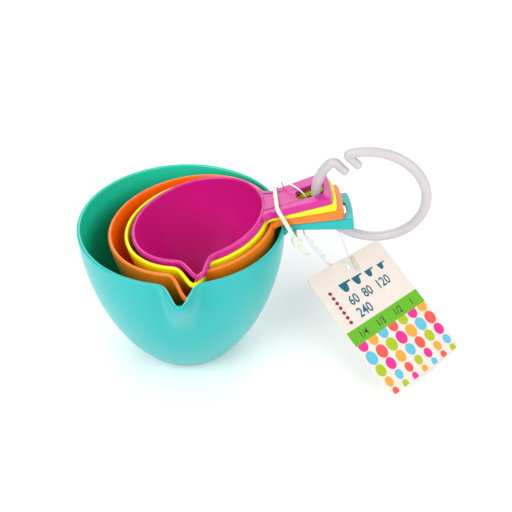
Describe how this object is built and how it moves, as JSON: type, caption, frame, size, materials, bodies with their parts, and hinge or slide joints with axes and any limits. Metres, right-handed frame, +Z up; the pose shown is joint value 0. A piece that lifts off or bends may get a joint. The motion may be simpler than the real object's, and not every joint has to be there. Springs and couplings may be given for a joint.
{
  "type": "nested measuring cup set",
  "caption": "Nested, spouted measuring cups with flat handles tied at the neck, on a snap ring through their holes, with a hang tag.",
  "frame": {"origin": "centre of the largest cup's foot, on the surface it stands on", "axes": "+Z up, +X along the handles from the bowls, -Y towards the spouts"},
  "size_m": [0.1626, 0.0985, 0.1035],
  "materials": {
    "teal_plastic": "semi-gloss moulded polypropylene",
    "orange_plastic": "semi-gloss moulded polypropylene",
    "yellow_plastic": "semi-gloss moulded polypropylene",
    "magenta_plastic": "semi-gloss moulded polypropylene",
    "ring_plastic": "satin white moulded plastic",
    "tie_nylon": "natural translucent nylon",
    "loop_nylon": "clear polypropylene",
    "tag_card": "printed matt card"
  },
  "bodies": {
    "cup_full": {"cup_full": "teal_plastic", "tag_loop": "loop_nylon", "tag_loop_lock": "loop_nylon"},
    "cup_half": {"cup_half": "orange_plastic"},
    "cup_third": {"cup_third": "yellow_plastic"},
    "cup_quarter": {"cup_quarter": "magenta_plastic", "cable_tie": "tie_nylon"},
    "split_ring": {"split_ring": "ring_plastic"},
    "hang_tag": {"hang_tag": "tag_card"}
  },
  "joints": [
    {"name": "cup_half_lift", "type": "hinge", "parent": "cup_full", "child": "cup_half", "pos_m": [0.06479, 0, 0.06983], "axis": [0, 1, 0], "range_deg": [0, 1.5]},
    {"name": "cup_third_lift", "type": "hinge", "parent": "cup_half", "child": "cup_third", "pos_m": [0.06177, 0, 0.07527], "axis": [0, 1, 0], "range_deg": [0, 1.5]},
    {"name": "cup_quarter_lift", "type": "hinge", "parent": "cup_third", "child": "cup_quarter", "pos_m": [0.06003, 0, 0.07808], "axis": [0, 1, 0], "range_deg": [0, 1.5]},
    {"name": "ring_turn", "type": "hinge", "parent": "cup_full", "child": "split_ring", "pos_m": [0.0755, -0.0072, 0.0798], "axis": [-0.2404, -0.9641, -0.1132], "range_deg": [-205, 10]},
    {"name": "tag_swing", "type": "hinge", "parent": "cup_full", "child": "hang_tag", "pos_m": [0.07168, 0.0083, 0.03152], "axis": [-0.729, -0.6751, 0.1132], "range_deg": [0, 55]}
  ]
}
